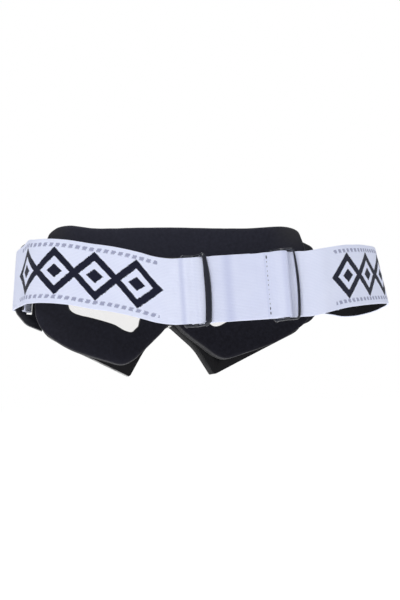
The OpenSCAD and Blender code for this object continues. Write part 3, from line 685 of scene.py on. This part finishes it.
def makeWebbing(name, stations, outwards, faceFinish, backFinish, swell=None, lift=None):
    place, up, out, run = webCourse(stations, outwards)
    ring = webRing()
    half, m, n = strapSize["width"] / 2, len(ring), len(place)
    points = []
    for i in range(n):
        soft = swell(run[i]) if swell else 0.0
        raised = lift(run[i]) if lift else 0.0
        for t, h, _ in ring:
            wavy, rim = unevenness(run[i], t, len(name))
            rise = t + raised * (0.5 + 0.5 * t / half) + rim
            points.append(place[i] + up[i] * rise + out[i] * (h + soft + wavy))
    across = [t for t, _, _ in ring] * n
    ribShare = [share if abs(t) < half - webSize["plainEdge"] else 0.0 for t, _, share in ring] * n
    faces, backing = webFaces(n, m, outwards)
    obj = makeMesh(name, points, faces, [faceFinish, backFinish])
    mesh = obj.data
    for key, values in (("across", across), ("ribShare", ribShare)):
        mesh.attributes.new(key, "FLOAT", "POINT").data.foreach_set("value", values)
    mesh.attributes.new("backing", "FLOAT", "FACE").data.foreach_set("value", backing)
    uv = mesh.uv_layers.new(name="web")
    corners = np.zeros(len(mesh.loops), int)
    mesh.loops.foreach_get("vertex_index", corners)
    flat = np.column_stack([run[corners // m], np.asarray(across)[corners]]) * mm
    uv.data.foreach_set("uv", flat.ravel())
    turnOutwards(obj)
    runTree(obj, ribTree, {"Rib Pitch": strapDesign["rib"], "Rib Height": webSize["ribHeight"] * mm,
                           "Face Finish": faceFinish, "Back Finish": backFinish})
    print(name, "length", round(float(run[-1]), 1))
    return obj


patternReach = {"leftStart": 29.0, "leftCells": 4, "rightStart": 56.0, "rightCells": 5}
# bands of painted shade across the left length, over its soft hollows beside the left slider
leftPaintedShade = [(14.4, 2.6, 0.5), (6.0, 1.5, 0.08)]
leftFinish = strapWhite("elasticWovenLeft", patternReach["leftStart"], patternReach["leftCells"], leftPaintedShade)
rightFinish = strapWhite("elasticWovenRight", patternReach["rightStart"], patternReach["rightCells"])
leftSwells = [(-9.5, 1.6, 0.4), (-4.6, 2.1, 0.5)]  # along u, beside the left slider
rightSwells = [(59.0, 1.6, 1.1), (66.0, 2.2, 0.9)]  # along u, beside the right slider
cornerLift = [(126, 10, 1.6)]  # along the left length, where it turns the frame's corner


def endLift(run):
    # raises the inner layer's upper edge from u = 8, clear of the left slider; it starts at u = 36
    return 0.55 * min(1.0, max(0.0, (36 - run - 8) / 4))


strapLeft = makeWebbing("strapLeft", leftWay, 1, leftFinish, finishes["strapBlack"],
                        swell=lambda run: bulged(7 - run, leftSwells),
                        lift=lambda run: bulged(run, cornerLift))
strapRight = makeWebbing("strapRight", rightWay, -1, rightFinish, finishes["strapBlack"],
                         swell=lambda run: bulged(36 + run, rightSwells))
strapOuter = makeWebbing("strapOuter", [backStation(u, v) for u, v in outerPlan], -1,
                         finishes["strapOuter"], finishes["strapPlain"])
strapInner = makeWebbing("strapInner", [backStation(u, v) for u, v in innerPlan], 1,
                         finishes["strapPlain"], finishes["strapBlack"], lift=endLift)
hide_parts("strap_left_end", "strap_left_side", "strap_left_back")
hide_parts("strap_right_end", "strap_right_side", "strap_right_back")
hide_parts("strap_outer_layer", "strap_outer_end")
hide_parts("strap_inner_layer", "strap_inner_end")
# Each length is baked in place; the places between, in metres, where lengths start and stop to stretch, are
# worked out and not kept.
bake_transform(strapLeft)
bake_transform(strapRight)
tuple(onBack(14, 0) * mm)
tuple(onBack(43, 0) * mm)
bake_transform(strapOuter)
tuple(onBack(34, 0) * mm)
tuple(onBack(12, 0) * mm)
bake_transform(strapInner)
print("webbing made")


# Stitching.
stitchSize = {
    "length": 2.0, "pitch": 2.9, "radius": 0.24, "count": 13, "spread": 0.4,
    "lastStitches": {0: 1.3, 1: 1.15, 12: 1.6},  # weights of the heavier stitches near the row's ends
    "loopHeight": 1.58,  # from the middle of a loop's two sewn layers to their threads
}


def makeStitches(name, rows, body, replaced, finish="thread"):
    # rows of (middle, way, out): a line of stitches across the webbing on one of its faces
    d = stitchSize
    centres, ways, outs, weights = [], [], [], []
    for middle, way, out in rows:
        for i in range(d["count"]):
            shift = (i - (d["count"] - 1) / 2) * d["pitch"]
            uneven = 0.66 + 0.3 * noise.noise(Vector((i * 3.1, len(name), 0)))
            weights.append(d["lastStitches"].get(i, uneven))
            centres.append(np.asarray(middle) + unit(way) * shift)
            ways.append(unit(way))
            outs.append(unit(out))
    obj = makeMesh(name, centres, [], [finishes[finish]])
    obj.data.attributes.new("threadWeight", "FLOAT", "POINT").data.foreach_set("value", weights)
    for key, values in (("threadWay", ways), ("threadOut", outs)):
        attribute = obj.data.attributes.new(key, "FLOAT_VECTOR", "POINT")
        attribute.data.foreach_set("vector", np.asarray(values).ravel())
    runTree(obj, stitchTree, {"Stitch Length": d["length"] * mm, "Thread Radius": d["radius"] * mm,
                              "Size Spread": d["spread"], "Seed": 7, "Thread Finish": finishes[finish]})
    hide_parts(replaced)
    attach(obj, body)
    return obj


def loopRows(side, outward, back, up, turn):
    # both faces of a loop's sewn end, whose outer face is turned so many degrees from outward
    middle = np.array(atBar(side, outward, back, up)[:3])
    way = np.array(atBar(side, outward, back, up + 1)[:3]) - middle
    angle = math.radians(turn)
    out = np.array(atBar(side, outward + math.cos(angle), back + math.sin(angle), up)[:3]) - middle
    away = out * stitchSize["loopHeight"]
    return [(middle + away, way, out), (middle - away, way, -out)]


backUp = onBack(0, 0, 1) - onBack(0, 0, 0)
backIn = onBack(0, 1) - onBack(0, 0)
outerU = strapSize["sliderGap"] - strapSize["sewn"] + 0.4
innerU = strapSize["sewn"] - 1.1
outerRows = [(onBack(outerU, -2.34), backUp, -backIn), (onBack(outerU, 0.8), backUp, backIn)]
innerRows = [(onBack(innerU, layerPitch + foldStep + 0.68), backUp, backIn),
             (onBack(innerU, layerPitch - 0.6), backUp, -backIn)]
leftRows = loopRows(1, webOut - 4.2, 17.5, -2.5, 14)
rightRows = loopRows(-1, 15.6, -9.53 + 0.58 * layerPitch, -5.5, 60)
makeStitches("stitchingOuter", outerRows, "right_slide", "stitching_outer")
makeStitches("stitchingInner", innerRows, "left_slide", "stitching_inner")
makeStitches("stitchingLeft", leftRows, "goggle", "stitching_left", "paleThread")
makeStitches("stitchingRight", rightRows, "goggle", "stitching_right", "paleThread")
print("stitching made")

# Sliders.
sliderSize = {
    "pitch": 7.0, "rail": 1.3, "inner": 42.1, "bow": 1.3, "corner": 1.9,
    "barHalf": (1.5, 1.0), "railHalf": (0.65, 0.8), "cornerHalf": (1.2, 1.0),  # half width, half depth
    "squareness": 0.62,  # 1 is an ellipse, and less is nearer to a rectangle
}


def sweep(path, sections, closed):
    # path: points; sections: (side direction, half width, depth direction, half depth) at each point
    count, n, power = 16, len(path), sliderSize["squareness"]
    points = []
    for p, (side, halfW, deep, halfD) in zip(path, sections):
        for k in range(count):
            c, s = math.cos(2 * math.pi * k / count), math.sin(2 * math.pi * k / count)
            across, through = math.copysign(abs(c) ** power, c), math.copysign(abs(s) ** power, s)
            points.append(p + side * halfW * across + deep * halfD * through)
    faces = []
    for i in range(n if closed else n - 1):
        for k in range(count):
            a, b = i * count + k, i * count + (k + 1) % count
            c, d = ((i + 1) % n) * count + (k + 1) % count, ((i + 1) % n) * count + k
            faces.append((a, b, c, d))
    if not closed:
        faces += [tuple(reversed(range(count))), tuple(range((n - 1) * count, n * count))]
    return points, faces


def makeSlider(name, atU, levels, body, replaced, outerHalf, outerDeep):
    # levels: how far towards the face the three bars lie; the outer bar has a section of its own
    d = sliderSize
    reach, top = d["pitch"], (d["inner"] + d["rail"]) / 2
    u0, u1 = atU - reach, atU + reach

    def levelAt(u):
        share = (u - atU) / reach
        eased = share * share * (3 - 2 * abs(share))
        return levels[1] + (levels[0 if share < 0 else 2] - levels[1]) * eased

    def corner(sideU, sideW, angles, half):
        turns = [(1 - math.cos(a), 1 - math.sin(a)) for a in np.radians(angles)]
        places = [(reach - d["corner"] * c, top - d["corner"] * s) for c, s in turns]
        return [(atU + sideU * u, sideW * w, *half) for u, w in places]

    bar = np.linspace(d["corner"] - top, top - d["corner"], 24)
    rail = np.linspace(u0 + d["corner"], u1 - d["corner"], 20)
    rising, falling = np.linspace(0, 90, 6)[1:-1], np.linspace(90, 0, 6)[1:-1]
    outerCorner = ((0.7 + outerHalf) / 2, outerDeep)
    loop = [(u0, w, *d["barHalf"]) for w in bar] + corner(-1, 1, rising, d["cornerHalf"])
    loop += [(u, top, *d["railHalf"]) for u in rail] + corner(1, 1, falling, outerCorner)
    for w in bar[::-1]:  # the outer bar is bowed, and slimmer at its upper end
        halfW = outerHalf * (0.62 + 0.38 * min(1.0, (top - w) / 14))
        loop.append((u1 + d["bow"] * (1 - (w / top) ** 2), w, halfW, outerDeep))
    loop += corner(1, -1, rising, outerCorner) + [(u, -top, *d["railHalf"]) for u in rail[::-1]]
    loop += corner(-1, -1, falling, d["cornerHalf"])
    path = [onBack(u, levelAt(min(max(u, u0), u1)), w) for u, w, _, _ in loop]
    sections = []
    for i, (_, _, halfW, halfD) in enumerate(loop):
        way = unit(path[(i + 1) % len(path)] - path[i - 1])
        deep = unit(backIn - way * np.dot(backIn, way))
        sections.append((unit(np.cross(way, deep)), halfW, deep, halfD))
    points, faces = sweep(path, sections, True)
    middleBar = [onBack(atU, levels[1], w) for w in np.linspace(-top, top, 30)]
    barSection = (unit(onBack(1, 0) - onBack(0, 0)), d["barHalf"][0], backIn, d["barHalf"][1])
    more, moreFaces = sweep(middleBar, [barSection] * len(middleBar), False)
    faces += [tuple(i + len(points) for i in face) for face in moreFaces]
    obj = makeMesh(name, points + more, faces, [finishes["slider"]])
    turnOutwards(obj)
    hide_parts(replaced)
    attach(obj, body)
    return obj


leftLevels = [barTurn, layerPitch + barTurn, -barTurn]
rightLevels = [layerPitch + barTurn, -barTurn, -barTurn]
makeSlider("sliderLeft", 0.0, leftLevels, "left_slide", "slider_left", 1.95, 1.0)
makeSlider("sliderRight", strapSize["sliderGap"], rightLevels, "right_slide", "slider_right", 0.8, 1.1)
print("sliders made")

# Face foam.
face = faceSize
foamTotal = face["firm"] + face["soft"] + face["fleece"]
faceCentre = math.sqrt(face["radius"] ** 2 - face["width"] ** 2 / 4)
foamSide = frameSide - 0.5
templeIn = foamSide - face["temple"]
browIn = face["shoulder"] - face["brow"]
cheekX, cheekLow, cheekIn = face["cheekX"], -face["cheekDrop"], face["cheek"] - face["cheekDrop"]


def bothSides(points):
    return points + [[-x, z] for x, z in points[-2:0:-1]]


foamOuter = bothSides([
    [0, face["top"]], [26, face["top"] - 1], [52, face["shoulder"]], [foamSide - 20, face["shoulder"] + 0.5],
    [foamSide - 10.5, face["shoulder"] - 3], [foamSide - 7, face["shoulder"] - 11.5], [foamSide - 2.3, 15],
    [foamSide, -4], [foamSide - 3, -15.5], [foamSide - 10.5, -22.8], [foamSide - 24, -30.5],
    [cheekX + 10, cheekLow + 2.4], [cheekX, cheekLow], [cheekX - 8, cheekLow + 3],
    [cheekX - 17, -face["nose"] - 18], [cheekX - 27.5, -face["nose"] - 8], [0, -face["nose"]],
])
foamInner = bothSides([
    [0, face["top"] - face["brow"]], [25, face["top"] - face["brow"] - 0.5], [48, browIn + 1],
    [templeIn - 11, browIn], [templeIn - 4.5, browIn - 3.5], [templeIn - 2.5, browIn - 11],
    [templeIn - 1.5, 10], [templeIn - 2, 2], [templeIn - 4, -4], [templeIn - 10, -6.8],
    [foamSide - 35, 0.47 * cheekIn], [cheekX + 6, cheekIn + 5.2], [cheekX - 3, cheekIn + 0.5],
    [cheekX - 8, cheekIn], [cheekX - 12, cheekIn + 4], [cheekX - 16.5, cheekIn + 14], [0, 18 - face["nose"]],
])
dents = {  # how the photographed foam lies, with x to the wearer's left and z up
    "brow": [(-50, 16, 1.5), (50, 16, 0.7)], "browFrom": 38, "browBlend": 12,
    "cornerDrop": 2.3, "cornerFrom": 68, "cornerBlend": 18,
    "lobeRise": 3.1, "lobeFrom": 4, "lobeBlend": 24, "lobeTop": 6, "lobeDepth": 26,
    "sideWide": 2.2, "sideBulge": [(37, 9, 3.3)], "sideFrom": 70, "sideBlend": 14,
}


def faceY(x, ahead):
    return faceCentre - math.sqrt((face["radius"] + ahead) ** 2 - x * x)


def pressed(x, z, share):
    # an uneven brow, a dropped left corner, a wider right side, and the right lobe pressed up
    d = dents
    high = smoothShare((z - d["browFrom"]) / d["browBlend"])
    drop = d["cornerDrop"] * smoothShare((x - d["cornerFrom"]) / d["cornerBlend"])
    lobe = d["lobeRise"] * smoothShare((-x - d["lobeFrom"]) / d["lobeBlend"])
    lobe *= smoothShare((d["lobeTop"] - z) / d["lobeDepth"]) * (1.0 if share > 0.5 else 0.8)
    wide = d["sideWide"] * high + bulged(z, d["sideBulge"])
    wide *= smoothShare((-x - d["sideFrom"]) / d["sideBlend"])
    return x - wide, z + lobe + high * (bulged(x, d["brow"]) - drop)


def makeFoam(name, profile, finish, node, grain):
    outer, inner = closedCurve(foamOuter, 9), closedCurve(foamInner, 9)
    n, m = len(outer), len(profile)
    points, faces = [], []
    for i, (a, b) in enumerate(zip(outer, inner)):
        for share, ahead in profile:
            x, z = a + (b - a) * share
            x, z = pressed(x, z, share)
            coarse = grain * noise.noise(Vector((x * 0.21, z * 0.21, ahead * 0.3)))
            rough = coarse + 0.5 * grain * noise.noise(Vector((x * 0.7, z * 0.7, ahead)))
            points.append([x, faceY(x, ahead) + rough * (0.4 if 0.1 < share < 0.9 else 0.8), z + rough * 0.5])
        here, there = i * m, (i + 1) % n * m
        faces += [(here + j, there + j, there + (j + 1) % m, here + (j + 1) % m) for j in range(m)]
    obj = makeMesh(name, points, faces, [finish])
    turnOutwards(obj)
    smoother = obj.modifiers.new("soften", "SUBSURF")
    smoother.levels = smoother.render_levels = 1
    applyAll(obj)
    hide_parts(node)
    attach(obj, "goggle")
    return obj


def mirrored(edge):
    return [(1 - share, ahead) for share, ahead in reversed(edge)]


def layerProfile(near, far, bow):
    # a layer from its rear face (near) to its front face (far), with softly bowed edges
    mid, soft = (near + far) / 2, 0.35
    edge = [(0.012, far), (-0.004, far - soft), (-bow, mid), (-0.004, near + soft), (0.012, near)]
    return edge + [(0.3, near), (0.7, near)] + mirrored(edge) + [(0.7, far), (0.3, far)]


fleeceFront, softFront = face["fleece"], face["fleece"] + face["soft"]
fleeceEdge = [(0.01, fleeceFront), (-0.006, fleeceFront - 0.5), (-0.004, 1.9), (0.015, 1.15),
              (0.06, 0.55), (0.14, 0.2), (0.25, 0.03), (0.4, -0.05)]
fleeceProfile = fleeceEdge + mirrored(fleeceEdge) + [(0.7, fleeceFront), (0.3, fleeceFront)]
softProfile = layerProfile(fleeceFront + 0.02, softFront, 0.014)
firmProfile = layerProfile(softFront + 0.02, foamTotal, 0.01)
makeFoam("fleeceLayer", fleeceProfile, finishes["fleece"], "fleece_layer", 0.25)
makeFoam("softFoam", softProfile, finishes["soft"], "soft_foam", 0.2)
makeFoam("firmFoam", firmProfile, finishes["firm"], "firm_foam", 0.15)
print("foam made")


# Moulded pieces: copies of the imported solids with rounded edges.
mouldSize = {"merge": 0.01, "flatAngle": 0.6, "sharpAngle": 32}
notchReach = {"x": 0.034, "z": -0.008}  # in metres


def softenedCopy(node, name, finish, width, segments):
    # width: of the rounded edges
    d = mouldSize
    mesh = nodes[node].data.copy()
    mesh.name = name
    obj = bpy.data.objects.new(name, mesh)
    scene.collection.objects.link(obj)
    mesh.materials.clear()
    mesh.materials.append(finishes[finish])
    bm = bmesh.new()
    bm.from_mesh(mesh)
    bmesh.ops.remove_doubles(bm, verts=bm.verts, dist=d["merge"] * mm)
    bmesh.ops.dissolve_limit(bm, angle_limit=math.radians(d["flatAngle"]), verts=bm.verts, edges=bm.edges)
    bm.to_mesh(mesh)
    bm.free()
    mesh.polygons.foreach_set("use_smooth", [True] * len(mesh.polygons))
    bevel = obj.modifiers.new("edges", "BEVEL")
    bevel.width, bevel.segments = width * mm, segments
    bevel.limit_method, bevel.angle_limit = "ANGLE", math.radians(d["sharpAngle"])
    bevel.harden_normals = True
    bevel.miter_outer = "MITER_ARC"
    applyAll(obj)
    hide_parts(node)
    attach(obj, "goggle")
    return obj


def satinNotch(obj):
    # the walls of the notch over the nose are left satin on the gloss frame
    obj.data.materials.append(finishes["notch"])
    for side in obj.data.polygons:
        x, _, z = side.center
        towards = -math.copysign(1, x) * side.normal.x
        steep = abs(side.normal.y) < 0.6 and towards > 0.2
        if steep and abs(x) < notchReach["x"] and z < notchReach["z"]:
            side.material_index = 1


satinNotch(softenedCopy("frame", "frameShell", "frame", 0.45, 2))
softenedCopy("outrigger_left", "outriggerLeft", "outrigger", 0.6, 3)
softenedCopy("outrigger_right", "outriggerRight", "outrigger", 0.6, 3)
softenedCopy("outrigger_studs", "outriggerStuds", "outrigger", 0.25, 2)
softenedCopy("tear_off_post_left", "tearOffPostLeft", "post", 0.3, 2)
softenedCopy("tear_off_post_right", "tearOffPostRight", "post", 0.3, 2)
softenedCopy("lens", "lensSheet", "lens", 0.2, 2)
for side in ("Top", "Left", "Right"):
    ventFoam = softenedCopy("vent_foam_" + side.lower(), "ventFoam" + side, "filter", 0.3, 2)
print("moulded pieces made")

# Camera, floor and light.
cameraSize = {
    "yaw": 9.0, "elevation": -8.0, "roll": -1.8, "target": (-14.5, 0.0, 0.0), "distance": 450.0,
    "focal": 678.0, "pictureHeight": 600, "sensor": 36.0,  # the first two in pixels
}


def makeCamera():
    d = cameraSize
    a, e, r = (math.radians(d[k]) for k in ("yaw", "elevation", "roll"))
    back = Vector((math.sin(a) * math.cos(e), math.cos(a) * math.cos(e), math.sin(e)))
    level = (-back).cross(Vector((0, 0, 1))).normalized()
    rise = level.cross(-back)
    right = level * math.cos(r) + rise * math.sin(r)
    up = rise * math.cos(r) - level * math.sin(r)
    camera = bpy.data.objects.new("photoCamera", bpy.data.cameras.new("photoCamera"))
    scene.collection.objects.link(camera)
    place = (Vector(d["target"]) + back * d["distance"]) * mm
    axes = Matrix((right, up, back)).transposed().to_4x4()
    camera.matrix_world = Matrix.Translation(place) @ axes
    camera.data.sensor_width = d["sensor"]
    camera.data.lens = d["focal"] / d["pictureHeight"] * d["sensor"]
    camera.data.clip_start, camera.data.clip_end = 0.01, 50
    scene.camera = camera


floorSize = {
    "half": 4000.0, "height": -115.0, "nearGlow": (0.84, 0.84, 0.84), "farGlow": (1.0, 1.0, 1.0),
    "near": 0.5, "far": 2.2,  # in metres
}


def makeFloor():
    d = floorSize
    signs = [(-1, -1), (1, -1), (1, 1), (-1, 1)]
    corners = [[x * d["half"], y * d["half"], d["height"]] for x, y in signs]
    floor = makeMesh("paleFloor", corners, [(0, 1, 2, 3)], [], False)
    paint = Finish("paleFloorPaint", (0.6, 0.6, 0.6), 0.9, Emission_Strength=0.83)
    away = paint.add("ShaderNodeVectorMath", {"operation": "LENGTH"}, {0: paint.place()}, out="Value")
    paint.set("Emission Color", paint.mix(away.step(d["near"], d["far"]), d["nearGlow"], d["farGlow"]))
    floor.data.materials.append(paint.material)


lamps = {  # place in metres, size, power, colour
    "keySoftbox": ((0.55, 0.95, 0.75), 0.7, 5.6, (1.0, 1.0, 1.0)),
    "fillSoftbox": ((-0.9, 0.8, 0.2), 0.9, 1.3, (0.97, 0.98, 1.0)),
    "topSoftbox": ((0.0, -0.1, 1.1), 1.0, 5.5, (0.96, 0.97, 1.0)),
    "frontSoftbox": ((0.1, -1.0, 0.4), 1.0, 1.5, (1.0, 1.0, 1.0)),
}
roomGlow = (0.28, 1.0)  # the room's strength as a light, and as the camera sees it


def makeLamps():
    for name, (place, size, power, colour) in lamps.items():
        lamp = bpy.data.lights.new(name, "AREA")
        lamp.shape, lamp.size, lamp.energy, lamp.color = "DISK", size, power, colour
        obj = bpy.data.objects.new(name, lamp)
        scene.collection.objects.link(obj)
        obj.location = place
        obj.rotation_euler = (-Vector(place)).to_track_quat("-Z", "Y").to_euler()
    world = bpy.data.worlds.new("whiteRoom")
    world.use_nodes = True
    tree = world.node_tree
    background = tree.nodes["Background"]
    background.inputs["Color"].default_value = (1, 1, 1, 1)
    path = tree.nodes.new("ShaderNodeLightPath")
    strength = tree.nodes.new("ShaderNodeMapRange")
    strength.inputs["To Min"].default_value, strength.inputs["To Max"].default_value = roomGlow
    tree.links.new(path.outputs["Is Camera Ray"], strength.inputs["Value"])
    tree.links.new(strength.outputs[0], background.inputs["Strength"])
    scene.world = world
    scene.view_settings.view_transform = "Standard"


makeCamera()
makeFloor()
makeLamps()
print("camera, floor and light made")
